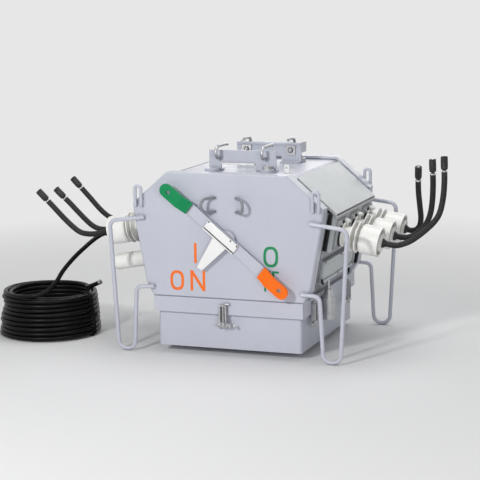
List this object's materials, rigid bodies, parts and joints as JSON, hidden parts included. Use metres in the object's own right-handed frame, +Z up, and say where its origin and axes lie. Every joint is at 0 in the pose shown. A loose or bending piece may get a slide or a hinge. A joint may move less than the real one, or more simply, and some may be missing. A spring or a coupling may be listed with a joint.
{
  "type": "pole-top air load break switch",
  "caption": "Sealed steel switch tank with folded end covers, hooded side bushings with leads, hanger brackets, rod legs and a front operating lever with pointer.",
  "frame": {"origin": "on the ground under the middle of the switch, leads and control cable left out", "axes": "+Z up, -Y out of the front cover that carries the lever, +X to the right seen from the front"},
  "size_m": [1.8369, 0.7601, 0.788],
  "materials": {
    "paint": "semi-gloss sprayed enamel",
    "pale_paint": "satin sprayed enamel",
    "porcelain": "glossy white glaze",
    "lead_rubber": "matt black jacket",
    "cap_rubber": "matt black sleeve",
    "cable_rubber": "satin black jacket",
    "zinc": "zinc plated",
    "gland": "moulded",
    "green": "gloss green enamel",
    "orange": "gloss orange enamel",
    "white_plate": "white enamel plate"
  },
  "bodies": {
    "tank": {"tank_body": "paint", "front_cover": "paint", "rear_cover": "paint", "rim_skirt": "paint", "bottom_pan": "paint", "shoulder_hood_right": "pale_paint", "shoulder_hood_left": "pale_paint", "bushing_block_right": "pale_paint", "bushing_block_left": "pale_paint", "side_panels": "pale_paint", "bushings_right": "porcelain", "bushings_left": "porcelain", "sensor_bushing": "porcelain", "lead_right_1": "lead_rubber", "lead_right_2": "lead_rubber", "lead_right_3": "lead_rubber", "lead_left_1": "lead_rubber", "lead_left_2": "lead_rubber", "lead_left_3": "lead_rubber", "lead_caps_right": "cap_rubber", "lead_caps_left": "cap_rubber", "hanger_front": "paint", "hanger_rear": "paint", "hanger_hooks": "zinc", "hook_washers": "zinc", "lifting_eyes": "paint", "leg_front_right": "paint", "leg_front_left": "paint", "leg_rear_right": "paint", "leg_rear_left": "paint", "end_latches": "zinc", "side_latches": "zinc", "drain_cup": "zinc", "cable_gland": "gland", "control_cable": "cable_rubber", "cable_coil": "cable_rubber", "pivot_boss": "paint", "rope_cleats": "paint"},
    "lever": {"lever_bar": "paint", "green_grip": "green", "orange_grip": "orange", "pointer": "white_plate", "indicator_plate": "white_plate"}
  },
  "joints": [
    {"name": "lever_turn", "type": "hinge", "parent": "tank", "child": "lever", "pos_m": [0.005, -0.33014, 0.4515], "axis": [0, -1, 0], "range_deg": [0, 78]}
  ]
}
